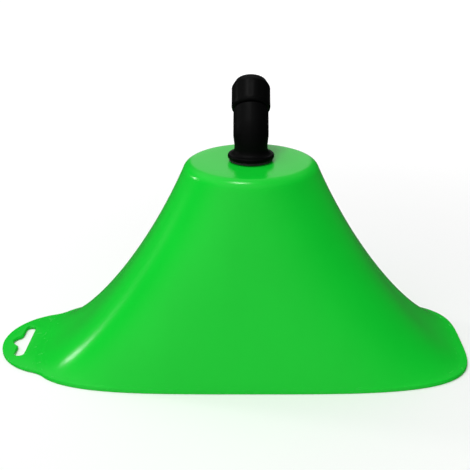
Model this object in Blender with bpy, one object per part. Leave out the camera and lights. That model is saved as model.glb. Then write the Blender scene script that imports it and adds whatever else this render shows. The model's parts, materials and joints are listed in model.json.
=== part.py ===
"""Spray hood with a flat-fan nozzle, for a garden sprayer's lance.

An oblong hood stands over the plants on its rim. A 45 degree elbow passes through its top, held by a
flange above and a clamp nut below. The lance screws into the coupling nut at the elbow's upper end, and
the spray tip hangs under the hood's top, inside a screw cap.

Metres, +Z up. The origin is the middle of the bounding box's underside. +X runs along the hood, away
from its hanging tab, and the lance leans towards +Y. Every height is measured from the ground, z = 0.
"""

import math
from math import cos, pi, sin, tan

import bmesh
import bpy
from mathutils import Matrix, Vector

# Clearances
FACE_GAP = 0.0003  # between pieces that touch
THREAD_GAP = 0.0003  # radial, thread to thread
RUNNING_GAP = 0.0003  # radial, a piece that turns or passes freely

# Hood shell
HOOD_LENGTH = 0.218
HOOD_DEPTH = 0.0976
HOOD_HEIGHT = 0.0996
WALL = 0.0016
TOP_FLAT_RADIUS = 0.0274
TOP_FILLET = 0.0055
DRAFT = math.radians(17.0)  # lean of the wall just under the top fillet
RIM_HEIGHT = 0.0020
RIM_WIDTH = 0.0022
FLARE_SHARE = 0.46  # how much of the ends' spread comes late, near the rim
FLARE_POWER = 1.86
SIDE_POWER = 0.95  # how evenly the long sides spread
RIM_SQUARENESS = 3.74  # superellipse exponent: 2 is an ellipse
SQUARENESS_POWER = 1.35
LAST_FLARE_RING = 0.985  # share of the flare above the last ring over the rim

# Hanging tab
TAB_REACH = 0.0192  # past the hood's end
TAB_RADIUS = 0.0312
TAB_THICKNESS = 0.0017
SLOT_LENGTH = 0.032
SLOT_WIDTH = 0.0046
SLOT_EYE_RADIUS = 0.0041
SLOT_FROM_TIP = 0.0132  # tip of the tab to the slot's inner side

# Elbow
STEM_RADIUS = 0.0066
STEM_BELOW_TOP = 0.0236  # stem's end, below the hood's top face
FLOW_RADIUS = 0.0033
FLANGE_RADIUS = 0.0111
FLANGE_THICKNESS = 0.0020
NECK_RADIUS = 0.0079
NECK_FILLET = 0.0022
NECK_LENGTH = 0.0062
TUBE_RADIUS = 0.0084
BEND_HEIGHT = 0.0125  # where the two axes cross, above the hood's top face
BEND_RADIUS = 0.0110
LEAN = math.radians(45.0)
TUBE_LENGTH = 0.0135  # bend point to the tube's shoulder
SPIGOT_RADIUS = 0.0057
GROOVE_DEPTH = 0.0010
GROOVE_WIDTH = 0.0016
GROOVE_FROM_END = 0.0016

# Coupling nut and what it holds
NUT_LENGTH = 0.0150
NUT_WALL = 0.0022
NUT_EDGE = 0.0014
NUT_COLLAR = 0.0040  # length of the inner collar that the retainer holds back
NUT_GRIPS = 12
NUT_GRIP_DEPTH = 0.0004
RETAINER_PROUD = 0.0010  # past the spigot's side
RETAINER_SIDE_GAP = 0.0005  # to the nut's thread
RETAINER_SPLIT = 0.0016
SEAL_THICKNESS = 0.0015

# Clamp
GASKET_THICKNESS = 0.0010
GASKET_INSET = 0.0007  # from the flange's edge
WASHER_THICKNESS = 0.0010
WASHER_WIDTH = 0.0041
CLAMP_NUT_WALL = 0.0026  # at the middle of a flat
CLAMP_NUT_HEIGHT = 0.0045

# Nozzle
NOZZLE_INSET = 0.0004  # from the stem's edge to the pieces clamped against its end
STRAINER_FLANGE = 0.0010
STRAINER_LENGTH = 0.0125
STRAINER_RADIUS = 0.0034
STRAINER_BORE = 0.0020
STRAINER_WINDOWS = 4
STRAINER_WINDOW_WIDTH = 0.0022
STRAINER_END_RING = 0.0018
STRAINER_SIDE_GAP = 0.0006
STRAINER_END_GAP = 0.0020
MESH_THICKNESS = 0.0004
NOZZLE_SEAL_THICKNESS = 0.0010
TIP_FLANGE = 0.0014
TIP_NOSE_RADIUS = 0.0040
TIP_NOSE_LENGTH = 0.0046
TIP_BORE = 0.0016
TIP_SLOT_WIDTH = 0.0010
TIP_SLOT_DEPTH = 0.0013
CAP_WALL = 0.0025
CAP_ENGAGEMENT = 0.0068  # length of stem inside the cap
CAP_LIP = 0.0018
CAP_EDGE = 0.0010
CAP_GRIPS = 16
CAP_GRIP_DEPTH = 0.0006

# Fineness
HOOD_SIDES = 64
FLARE_RINGS = 12
FILLET_RINGS = 3
ROUND_SIDES = 32
BEND_RINGS = 5
SMOOTH_ANGLE = math.radians(30.0)
MERGE_DISTANCE = 1e-6
FLUTE_SIDES = 12
FLUTE_SHARE = 0.36  # a grip flute's radius, as a share of the spacing between flutes

# Places and sizes that follow from the others
AXIS_X = TAB_REACH / 2
END_SPREAD = HOOD_LENGTH / 2
SIDE_SPREAD = HOOD_DEPTH / 2
HOOD_UNDERSIDE = HOOD_HEIGHT - WALL
STEM_END = HOOD_HEIGHT - STEM_BELOW_TOP
FLANGE_BASE = HOOD_HEIGHT + GASKET_THICKNESS + 2 * FACE_GAP
BEND_Z = HOOD_HEIGHT + BEND_HEIGHT
THREAD_BORE = STEM_RADIUS + THREAD_GAP
CLAMPED_RADIUS = STEM_RADIUS - NOZZLE_INSET
MESH_INNER = STRAINER_RADIUS + FACE_GAP
POCKET_RADIUS = MESH_INNER + MESH_THICKNESS + STRAINER_SIDE_GAP
POCKET_DEPTH = STRAINER_LENGTH + STRAINER_END_GAP
GROOVE_START = TUBE_LENGTH + NUT_COLLAR + 2 * FACE_GAP  # from the bend point, as are the next two
GROOVE_END = GROOVE_START + GROOVE_WIDTH
SPIGOT_END = GROOVE_END + GROOVE_FROM_END
NUT_BORE = SPIGOT_RADIUS + RETAINER_PROUD + RETAINER_SIDE_GAP
NUT_RADIUS = NUT_BORE + NUT_WALL


def clear_scene():
    for obj in list(bpy.data.objects):
        bpy.data.objects.remove(obj, do_unlink=True)


def make_material(name, colour, roughness, metallic=0.0):
    material = bpy.data.materials.new(name)
    material.use_nodes = True
    shader = material.node_tree.nodes["Principled BSDF"]
    shader.inputs["Base Color"].default_value = (*colour, 1.0)
    shader.inputs["Roughness"].default_value = roughness
    shader.inputs["Metallic"].default_value = metallic
    return material


def new_object(name, bm, material, parent=None):
    """Makes an object from a bmesh, with its normals outwards and its round faces smooth."""
    bmesh.ops.remove_doubles(bm, verts=bm.verts, dist=MERGE_DISTANCE)
    bmesh.ops.recalc_face_normals(bm, faces=bm.faces)
    mesh = bpy.data.meshes.new(name)
    bm.to_mesh(mesh)
    bm.free()
    mesh.materials.append(material)
    mesh.shade_smooth()
    mesh.set_sharp_from_angle(angle=SMOOTH_ANGLE)
    obj = bpy.data.objects.new(name, mesh)
    bpy.context.scene.collection.objects.link(obj)
    obj.parent = parent
    return obj


def axis_empty(name, location, lean=0.0):
    """An empty whose +Z is a piece's own axis. A lean tips +Z towards +Y."""
    empty = bpy.data.objects.new(name, None)
    empty.empty_display_size = 0.01
    empty.location = location
    empty.rotation_euler = (-lean, 0.0, 0.0)
    bpy.context.scene.collection.objects.link(empty)
    return empty


def turned(profile, sides=ROUND_SIDES):
    """Turns a closed outline of (radius, height) points about +Z."""
    bm = bmesh.new()
    points = [bm.verts.new((radius, 0.0, height)) for radius, height in profile]
    outline = [bm.edges.new(pair) for pair in zip(points, points[1:] + points[:1])]
    bmesh.ops.spin(
        bm,
        geom=points + outline,
        axis=(0.0, 0.0, 1.0),
        cent=(0.0, 0.0, 0.0),
        angle=2 * pi,
        steps=sides,
        use_merge=True,
    )
    return bm


def washer(inner, outer, low, high, sides=ROUND_SIDES):
    return turned([(inner, low), (outer, low), (outer, high), (inner, high)], sides)


def ring_of(bm, points):
    """The vertices of one ring of a skin."""
    return [bm.verts.new(point) for point in points]


def skin_rings(bm, rings):
    """Lays faces from each ring to the next, and from the last to the first."""
    for ring, following in zip(rings, rings[1:] + rings[:1]):
        for step in range(len(ring)):
            after = (step + 1) % len(ring)
            bm.faces.new((ring[step], ring[after], following[after], following[step]))


def block(bm, size, place):
    """A box, centred and turned by a matrix."""
    bmesh.ops.create_cube(bm, size=1.0, matrix=place @ Matrix.Diagonal((*size, 1.0)))


def rod(bm, radius, depth, place, sides=ROUND_SIDES):
    bmesh.ops.create_cone(
        bm,
        cap_ends=True,
        segments=sides,
        radius1=radius,
        radius2=radius,
        depth=depth,
        matrix=place,
    )


def combine(target, operation, name, bm):
    """Adds the bmesh's solid to the target, or takes it away, with a Boolean. Returns the hidden tool."""
    tool = new_object(name, bm, target.data.materials[0], target.parent)
    tool.hide_render = True
    tool.display_type = "WIRE"
    boolean = target.modifiers.new(name, "BOOLEAN")
    boolean.operation = operation
    boolean.object = tool
    return tool


def around_axis(count, radius, height=0.0):
    """Matrices spaced about +Z, each with its own +X pointing outwards."""
    for step in range(count):
        turn = Matrix.Rotation(2 * pi * step / count, 4, "Z")
        yield turn @ Matrix.Translation((radius, 0.0, height))


def grips(count, radius, depth, low, high):
    """Solids that cut shallow grip flutes into a round nut."""
    bm = bmesh.new()
    flute = FLUTE_SHARE * 2 * pi * radius / count
    for place in around_axis(count, radius + flute - depth, (low + high) / 2):
        rod(bm, flute, high - low, place, FLUTE_SIDES)
    return bm


# Hood


def hood_section(level):
    """Half length, half depth, squareness and height of the outer surface, from the top, 0, to the rim, 1."""
    fillet_turn = pi / 2 - DRAFT
    shoulder_radius = TOP_FLAT_RADIUS + TOP_FILLET * sin(fillet_turn)
    shoulder_height = HOOD_HEIGHT - TOP_FILLET * (1 - cos(fillet_turn))
    late = FLARE_SHARE * (1 - (1 - level**FLARE_POWER) ** (1 / FLARE_POWER))
    spread = (1 - FLARE_SHARE) * level + late
    half_length = shoulder_radius + (END_SPREAD - shoulder_radius) * spread
    half_depth = shoulder_radius + (SIDE_SPREAD - shoulder_radius) * level**SIDE_POWER
    squareness = 2 + (RIM_SQUARENESS - 2) * level**SQUARENESS_POWER
    height = RIM_HEIGHT + (shoulder_height - RIM_HEIGHT) * (1 - level)
    return half_length, half_depth, squareness, height


def outline_point(half_length, half_depth, squareness, height, turn):
    """A point of a superellipse about the hood's axis."""
    across, along = cos(turn), sin(turn)
    size = (abs(across) ** squareness + abs(along) ** squareness) ** (1 / squareness)
    return Vector((half_length * across / size, half_depth * along / size, height))


def flare_point(level, turn):
    return outline_point(*hood_section(level), turn)


def flare_normal(level, turn):
    """The outward normal of the flare, from two short steps along it."""
    step = 1e-4
    low, high = max(level - step, 0.0), min(level + step, 1.0)
    down = flare_point(high, turn) - flare_point(low, turn)
    round_it = flare_point(level, turn + step) - flare_point(level, turn - step)
    return round_it.cross(-down).normalized()


def inside_rim(point):
    """Moves a point of the underside in to the rim's inner face, where it lies outside that face."""
    half_length, half_depth = END_SPREAD - RIM_WIDTH, SIDE_SPREAD - RIM_WIDTH
    across = (abs(point.x) / half_length) ** RIM_SQUARENESS
    along = (abs(point.y) / half_depth) ** RIM_SQUARENESS
    shrink = max((across + along) ** (1 / RIM_SQUARENESS), 1.0)
    return Vector((point.x / shrink, point.y / shrink, point.z))


def hood_rings():
    """Rings of points round the hood: down its outer surface, under the rim, and up its inner surface."""
    turns = [2 * pi * step / HOOD_SIDES for step in range(HOOD_SIDES)]
    hole = STEM_RADIUS + RUNNING_GAP

    def circle(radius, height):
        return [Vector((radius * cos(turn), radius * sin(turn), height)) for turn in turns]

    outer = [circle(hole, HOOD_HEIGHT)]
    inner = [circle(hole, HOOD_UNDERSIDE)]
    for step in range(FILLET_RINGS):
        turn = (pi / 2 - DRAFT) * step / FILLET_RINGS
        for rings, fillet in ((outer, TOP_FILLET), (inner, TOP_FILLET - WALL)):
            radius = TOP_FLAT_RADIUS + fillet * sin(turn)
            rings.append(circle(radius, HOOD_HEIGHT - TOP_FILLET + fillet * cos(turn)))
    for step in range(FLARE_RINGS):
        level = sin(pi / 2 * step / (FLARE_RINGS - 1)) * LAST_FLARE_RING
        outer.append([flare_point(level, turn) for turn in turns])
        offset = [flare_point(level, turn) - WALL * flare_normal(level, turn) for turn in turns]
        inner.append([inside_rim(point) for point in offset])
    rim = (END_SPREAD, SIDE_SPREAD, RIM_SQUARENESS)
    rim_inside = (END_SPREAD - RIM_WIDTH, SIDE_SPREAD - RIM_WIDTH, RIM_SQUARENESS)
    outer.append([outline_point(*rim, RIM_HEIGHT, turn) for turn in turns])
    outer.append([outline_point(*rim, 0.0, turn) for turn in turns])
    inner.append([outline_point(*rim_inside, 0.0, turn) for turn in turns])
    return outer + inner[::-1]


def rim_core():
    """A prism that fills the hood out to the middle of its rim."""
    bm = bmesh.new()
    middle = (END_SPREAD - RIM_WIDTH / 2, SIDE_SPREAD - RIM_WIDTH / 2, RIM_SQUARENESS)
    turns = [2 * pi * step / HOOD_SIDES for step in range(HOOD_SIDES)]
    outline = [bm.verts.new(outline_point(*middle, -TAB_THICKNESS, turn)) for turn in turns]
    base = bm.faces.new(outline)
    extruded = bmesh.ops.extrude_face_region(bm, geom=[base], use_keep_orig=True)
    raised = [item for item in extruded["geom"] if isinstance(item, bmesh.types.BMVert)]
    bmesh.ops.translate(bm, verts=raised, vec=(0.0, 0.0, 3 * TAB_THICKNESS))
    return bm


def build_hood(material):
    axis = axis_empty("hood_axis", (AXIS_X, 0.0, 0.0))
    shell = bmesh.new()
    skin_rings(shell, [ring_of(shell, points) for points in hood_rings()])
    hood = new_object("hood_shell", shell, material, axis)

    tab = bmesh.new()
    centre = TAB_RADIUS - TAB_REACH - END_SPREAD
    rod(tab, TAB_RADIUS, TAB_THICKNESS, Matrix.Translation((centre, 0.0, TAB_THICKNESS / 2)), HOOD_SIDES)
    tab = combine(hood, "UNION", "tab_plate", tab)
    combine(tab, "DIFFERENCE", "tab_core", rim_core())

    inner_side = SLOT_FROM_TIP - TAB_REACH - END_SPREAD
    depth = 3 * TAB_THICKNESS
    bar_end = (SLOT_LENGTH - SLOT_WIDTH) / 2
    middle = Matrix.Translation((inner_side - SLOT_WIDTH / 2, 0.0, TAB_THICKNESS / 2))
    eye = Matrix.Translation((inner_side - SLOT_EYE_RADIUS, 0.0, TAB_THICKNESS / 2))
    bar = bmesh.new()
    block(bar, (SLOT_WIDTH, 2 * bar_end, depth), middle)
    combine(tab, "DIFFERENCE", "slot_bar", bar)
    for name, end in (("slot_front_end", -bar_end), ("slot_back_end", bar_end)):
        round_end = bmesh.new()
        rod(round_end, SLOT_WIDTH / 2, depth, middle @ Matrix.Translation((0.0, end, 0.0)))
        combine(tab, "DIFFERENCE", name, round_end)
    hole = bmesh.new()
    rod(hole, SLOT_EYE_RADIUS, depth, eye)
    combine(tab, "DIFFERENCE", "slot_eye", hole)


# Elbow


def bend_run():
    """Where the bend starts and ends along the elbow's axis, and where the point the axes cross would be."""
    tangent = BEND_RADIUS * tan(LEAN / 2)
    start = BEND_Z - FLANGE_BASE - tangent
    end = start + BEND_RADIUS * LEAN
    return start, end, end - tangent


def elbow_frame(distance):
    """The elbow's axis at a distance from its flange's base: its place, with +Z along it."""
    start, end, _ = bend_run()
    turn = min(max((distance - start) / BEND_RADIUS, 0.0), LEAN)
    rise = min(distance, start)
    arc = Vector((0.0, BEND_RADIUS * (1 - cos(turn)), rise + BEND_RADIUS * sin(turn)))
    straight = Vector((0.0, sin(turn), cos(turn))) * max(distance - end, 0.0)
    base = Vector((AXIS_X, 0.0, FLANGE_BASE))
    return Matrix.Translation(base + arc + straight) @ Matrix.Rotation(-turn, 4, "X")


def elbow_stations():
    """(distance, radius) up the outside and down the bore: a closed outline, bent along the axis."""
    start, end, crossing = bend_run()
    bottom = STEM_END - FLANGE_BASE
    shoulder = crossing + TUBE_LENGTH
    groove_start = crossing + GROOVE_START
    groove_end = crossing + GROOVE_END
    tip = crossing + SPIGOT_END
    groove_radius = SPIGOT_RADIUS - GROOVE_DEPTH
    bend = [start + (end - start) * step / (BEND_RINGS - 1) for step in range(BEND_RINGS)]
    outside = [
        (bottom, POCKET_RADIUS),
        (bottom, STEM_RADIUS),
        (0.0, STEM_RADIUS),
        (0.0, FLANGE_RADIUS),
        (FLANGE_THICKNESS, FLANGE_RADIUS),
        (FLANGE_THICKNESS, NECK_RADIUS + NECK_FILLET),
        (FLANGE_THICKNESS + NECK_FILLET / 3, NECK_RADIUS + NECK_FILLET / 3),
        (FLANGE_THICKNESS + NECK_FILLET, NECK_RADIUS),
        *((distance, NECK_RADIUS if distance < NECK_LENGTH else TUBE_RADIUS) for distance in bend),
        (shoulder, TUBE_RADIUS),
        (shoulder, SPIGOT_RADIUS),
        (groove_start, SPIGOT_RADIUS),
        (groove_start, groove_radius),
        (groove_end, groove_radius),
        (groove_end, SPIGOT_RADIUS),
        (tip, SPIGOT_RADIUS),
    ]
    bore = [
        (tip, FLOW_RADIUS),
        *((distance, FLOW_RADIUS) for distance in bend[::-1]),
        (bottom + POCKET_DEPTH, FLOW_RADIUS),
        (bottom + POCKET_DEPTH, POCKET_RADIUS),
    ]
    return outside + bore


def build_elbow(material):
    bm = bmesh.new()
    turns = [2 * pi * step / ROUND_SIDES for step in range(ROUND_SIDES)]
    rings = []
    for distance, radius in elbow_stations():
        frame = elbow_frame(distance)
        points = [frame @ Vector((radius * cos(turn), radius * sin(turn), 0.0)) for turn in turns]
        rings.append(ring_of(bm, points))
    skin_rings(bm, rings)
    return new_object("elbow_body", bm, material)


# Coupling: heights are along the leaning axis, from the bend point


def build_coupling(nut_material, clip_material, seal_material):
    axis = axis_empty("inlet_axis", (AXIS_X, 0.0, BEND_Z), LEAN)
    low = TUBE_LENGTH + FACE_GAP
    high = low + NUT_LENGTH
    collar_bore = SPIGOT_RADIUS + RUNNING_GAP
    nut = turned(
        [
            (collar_bore, low),
            (NUT_RADIUS - NUT_EDGE, low),
            (NUT_RADIUS, low + NUT_EDGE),
            (NUT_RADIUS, high - NUT_EDGE),
            (NUT_RADIUS - NUT_EDGE, high),
            (NUT_BORE, high),
            (NUT_BORE, low + NUT_COLLAR),
            (collar_bore, low + NUT_COLLAR),
        ]
    )
    nut = new_object("coupling_nut", nut, nut_material, axis)
    flutes = grips(NUT_GRIPS, NUT_RADIUS, NUT_GRIP_DEPTH, low + 2 * NUT_EDGE, high - 2 * NUT_EDGE)
    combine(nut, "DIFFERENCE", "nut_grips", flutes)

    clip_inner = SPIGOT_RADIUS - GROOVE_DEPTH + RUNNING_GAP
    clip_outer = SPIGOT_RADIUS + RETAINER_PROUD
    clip = washer(clip_inner, clip_outer, GROOVE_START + FACE_GAP, GROOVE_END - FACE_GAP)
    clip = new_object("nut_retainer", clip, clip_material, axis)
    split = bmesh.new()
    middle = Matrix.Translation(((clip_inner + clip_outer) / 2, 0.0, (GROOVE_START + GROOVE_END) / 2))
    block(split, (2 * (clip_outer - clip_inner), RETAINER_SPLIT, 2 * GROOVE_WIDTH), middle)
    combine(clip, "DIFFERENCE", "retainer_split", split)

    seal_low = SPIGOT_END + FACE_GAP
    seal = washer(FLOW_RADIUS, SPIGOT_RADIUS, seal_low, seal_low + SEAL_THICKNESS)
    new_object("lance_seal", seal, seal_material, axis)


# Clamp: heights are from the ground


def build_clamp(steel, black, rubber):
    axis = axis_empty("stem_axis", (AXIS_X, 0.0, 0.0))
    hole = STEM_RADIUS + RUNNING_GAP
    gasket_low = HOOD_HEIGHT + FACE_GAP
    gasket = washer(hole, FLANGE_RADIUS - GASKET_INSET, gasket_low, gasket_low + GASKET_THICKNESS)
    new_object("hood_gasket", gasket, rubber, axis)

    washer_high = HOOD_UNDERSIDE - FACE_GAP
    washer_low = washer_high - WASHER_THICKNESS
    clamp_washer = washer(hole, hole + WASHER_WIDTH, washer_low, washer_high)
    new_object("clamp_washer", clamp_washer, steel, axis)

    nut_high = washer_low - FACE_GAP
    corner = (THREAD_BORE + CLAMP_NUT_WALL) / cos(pi / 6)
    middle = Matrix.Translation((0.0, 0.0, nut_high - CLAMP_NUT_HEIGHT / 2))
    nut = bmesh.new()
    rod(nut, corner, CLAMP_NUT_HEIGHT, middle, 6)
    nut = new_object("clamp_nut", nut, black, axis)
    bore = bmesh.new()
    rod(bore, THREAD_BORE, 2 * CLAMP_NUT_HEIGHT, middle)
    combine(nut, "DIFFERENCE", "clamp_nut_bore", bore)
    return axis


# Nozzle: heights are from the ground


def build_strainer(high, frame_material, mesh_material, axis):
    """A flanged cage, whose windows a sleeve of mesh covers."""
    flange_low = high - STRAINER_FLANGE
    top = high + STRAINER_LENGTH
    frame = turned(
        [
            (STRAINER_BORE, flange_low),
            (CLAMPED_RADIUS, flange_low),
            (CLAMPED_RADIUS, high),
            (STRAINER_RADIUS, high),
            (STRAINER_RADIUS, top),
            (STRAINER_BORE, top),
        ]
    )
    frame = new_object("strainer_frame", frame, frame_material, axis)
    windows = bmesh.new()
    window_height = STRAINER_LENGTH - 2 * STRAINER_END_RING
    middle = (high + top) / 2
    for place in around_axis(STRAINER_WINDOWS, STRAINER_RADIUS, middle):
        block(windows, (STRAINER_RADIUS, STRAINER_WINDOW_WIDTH, window_height), place)
    combine(frame, "DIFFERENCE", "strainer_windows", windows)

    mesh = washer(MESH_INNER, MESH_INNER + MESH_THICKNESS, high + FACE_GAP, top)
    new_object("strainer_mesh", mesh, mesh_material, axis)
    return flange_low


def build_nozzle(black, tip_material, frame_material, mesh_material, rubber, axis):
    low = build_strainer(STEM_END - FACE_GAP, frame_material, mesh_material, axis)

    seal_high = low - FACE_GAP
    seal_low = seal_high - NOZZLE_SEAL_THICKNESS
    new_object("nozzle_seal", washer(STRAINER_BORE, CLAMPED_RADIUS, seal_low, seal_high), rubber, axis)

    flange_high = seal_low - FACE_GAP
    flange_low = flange_high - TIP_FLANGE
    nose_low = flange_low - TIP_NOSE_LENGTH
    tip = turned(
        [
            (TIP_BORE, nose_low),
            (TIP_NOSE_RADIUS, nose_low),
            (TIP_NOSE_RADIUS, flange_low),
            (CLAMPED_RADIUS, flange_low),
            (CLAMPED_RADIUS, flange_high),
            (TIP_BORE, flange_high),
        ]
    )
    tip = new_object("nozzle_tip", tip, tip_material, axis)
    slot = bmesh.new()
    block(
        slot,
        (3 * TIP_NOSE_RADIUS, TIP_SLOT_WIDTH, 2 * TIP_SLOT_DEPTH),
        Matrix.Translation((0.0, 0.0, nose_low)),
    )
    combine(tip, "DIFFERENCE", "fan_slot", slot)

    lip_high = flange_low - FACE_GAP
    cap_low = lip_high - CAP_LIP
    cap_high = STEM_END + CAP_ENGAGEMENT
    cap_radius = THREAD_BORE + CAP_WALL
    lip_bore = TIP_NOSE_RADIUS + RUNNING_GAP
    cap = turned(
        [
            (lip_bore, cap_low),
            (cap_radius - CAP_EDGE, cap_low),
            (cap_radius, cap_low + CAP_EDGE),
            (cap_radius, cap_high),
            (THREAD_BORE, cap_high),
            (THREAD_BORE, lip_high),
            (lip_bore, lip_high),
        ]
    )
    cap = new_object("nozzle_cap", cap, black, axis)
    flutes = grips(CAP_GRIPS, cap_radius, CAP_GRIP_DEPTH, cap_low + 2 * CAP_EDGE, 2 * cap_high)
    combine(cap, "DIFFERENCE", "cap_grips", flutes)


def main():
    clear_scene()
    green = make_material("hood_green", (0.03, 0.52, 0.05), 0.35)
    black = make_material("fitting_black", (0.006, 0.006, 0.006), 0.4)
    nylon = make_material("clip_nylon", (0.7, 0.68, 0.62), 0.5)
    rubber = make_material("seal_rubber", (0.01, 0.01, 0.01), 0.8)
    tip_yellow = make_material("tip_acetal", (0.75, 0.45, 0.02), 0.4)
    cage_white = make_material("strainer_nylon", (0.55, 0.55, 0.52), 0.45)
    steel = make_material("steel", (0.6, 0.6, 0.6), 0.3, 1.0)

    build_hood(green)
    build_elbow(black)
    build_coupling(black, nylon, rubber)
    axis = build_clamp(steel, black, rubber)
    build_nozzle(black, tip_yellow, cage_white, steel, rubber, axis)


main()
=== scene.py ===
"""Looks of a spray hood for a garden sprayer's lance.

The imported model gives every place. The hood, the elbow, the coupling nut, the clamp and the nozzle are
each modelled again here at full fineness, with rounded edges, screw threads and grips, and each finished
piece stands in for one plain solid. Metres, +Z up, +X away from the hanging tab, +Y the way the lance leans.
"""

import json
import logging
import math
from collections.abc import Sequence
from dataclasses import dataclass
from enum import Enum
from math import cos, pi, sin, tan

import bmesh
import bpy
from mathutils import Matrix, Vector


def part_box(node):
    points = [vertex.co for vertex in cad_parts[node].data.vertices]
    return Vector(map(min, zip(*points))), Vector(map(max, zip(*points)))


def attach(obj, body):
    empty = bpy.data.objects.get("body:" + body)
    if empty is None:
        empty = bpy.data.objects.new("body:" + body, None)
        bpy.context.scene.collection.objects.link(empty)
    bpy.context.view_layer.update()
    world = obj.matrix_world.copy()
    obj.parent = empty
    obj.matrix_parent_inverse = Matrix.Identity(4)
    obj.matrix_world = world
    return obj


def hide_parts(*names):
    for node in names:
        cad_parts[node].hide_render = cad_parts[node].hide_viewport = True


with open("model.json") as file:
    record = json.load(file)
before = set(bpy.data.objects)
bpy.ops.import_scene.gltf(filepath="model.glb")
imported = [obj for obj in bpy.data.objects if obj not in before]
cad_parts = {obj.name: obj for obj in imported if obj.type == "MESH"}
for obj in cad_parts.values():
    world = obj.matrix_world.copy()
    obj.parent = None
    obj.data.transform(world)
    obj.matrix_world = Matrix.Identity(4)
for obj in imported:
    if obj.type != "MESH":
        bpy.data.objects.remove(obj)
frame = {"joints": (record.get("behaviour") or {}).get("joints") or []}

log = logging.getLogger("spray_hood")

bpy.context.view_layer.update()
MERGE = 1e-6
THREAD_PITCH = 0.0015
THREAD_FINENESS = THREAD_PITCH / 8
SOFT_EDGE = 0.0003
CRISP_EDGE = 0.0002

Colour = tuple[float, float, float]
Corner = tuple[float, float, float]
Outline = list[tuple[float, float]]
WHITE = (1.0, 1.0, 1.0)


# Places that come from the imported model


def joint_place(name: str) -> Vector:
    """Gives a joint's point on its axis.

    Args:
        name: the joint's name.

    Returns:
        The point, in the model's frame.
    """
    found = next(joint for joint in frame["joints"] if joint["name"] == name)
    return Vector(found["pos_m"])


STEM_AXIS = joint_place("elbow_turn")
HOOD_LOW, HOOD_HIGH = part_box("hood_shell")


# Shader tools


class Number:
    """A number socket, on which Python's arithmetic adds Math nodes."""

    def __init__(self, wiring: "Wiring", socket: bpy.types.NodeSocket) -> None:
        """Wraps a socket of a node tree."""
        self.wiring = wiring
        self.socket = socket

    def __add__(self, other: "Number | float") -> "Number":
        """Adds another number."""
        return self.wiring.math("ADD", self, other)

    def __sub__(self, other: "Number | float") -> "Number":
        """Takes another number away."""
        return self.wiring.math("SUBTRACT", self, other)

    def __rsub__(self, other: float) -> "Number":
        """Takes this from a plain number."""
        return self.wiring.math("SUBTRACT", other, self)

    def __mul__(self, other: "Number | float") -> "Number":
        """Multiplies by another number."""
        return self.wiring.math("MULTIPLY", self, other)

    def __pow__(self, other: "Number | float") -> "Number":
        """Raises to a power."""
        return self.wiring.math("POWER", self, other)

    __radd__ = __add__
    __rmul__ = __mul__

    def ramp(self, low: float, high: float) -> "Number":
        """Rises smoothly from 0 at low to 1 at high, or falls where low is the larger.

        Args:
            low: the value that gives 0.
            high: the value that gives 1.

        Returns:
            A number from 0 to 1.
        """
        node = self.wiring.node(
            "ShaderNodeMapRange",
            {"interpolation_type": "SMOOTHSTEP"},
            {"Value": self, "From Min": low, "From Max": high},
        )
        return Number(self.wiring, node.outputs["Result"])


Input = Number | bpy.types.NodeSocket | float | Sequence[float]


class Wiring:
    """A node tree under construction."""

    def __init__(self, tree: bpy.types.NodeTree) -> None:
        """Takes up a node tree."""
        self.tree = tree

    def node(
        self,
        kind: str,
        settings: dict[str, object] | None = None,
        inputs: dict[str | int, Input] | None = None,
    ) -> bpy.types.Node:
        """Adds any node.

        Args:
            kind: the node's type.
            settings: its own properties, which are set first.
            inputs: a value or a link for each socket, by name or number.

        Returns:
            The new node.
        """
        made = self.tree.nodes.new(kind)
        for setting, value in (settings or {}).items():
            setattr(made, setting, value)
        for socket, value in (inputs or {}).items():
            self.feed(made.inputs[socket], value)
        return made

    def feed(self, socket: bpy.types.NodeSocket, value: Input) -> None:
        """Links or sets one socket.

        Args:
            socket: the socket to feed.
            value: a number, a link or a plain value.
        """
        if isinstance(value, Number):
            value = value.socket
        if isinstance(value, bpy.types.NodeSocket):
            self.tree.links.new(value, socket)
        else:
            socket.default_value = value

    def math(self, operation: str, *values: Input) -> Number:
        """Adds a Math node.

        Args:
            operation: the node's operation.
            values: its inputs, in order.

        Returns:
            Its result.
        """
        made = self.node("ShaderNodeMath", {"operation": operation}, dict(enumerate(values)))
        return Number(self, made.outputs["Value"])

    def axis_parts(self, vector: bpy.types.NodeSocket) -> tuple[Number, Number, Number]:
        """Splits a vector into its three numbers."""
        made = self.node("ShaderNodeSeparateXYZ", None, {"Vector": vector})
        return tuple(Number(self, made.outputs[axis]) for axis in "XYZ")


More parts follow.
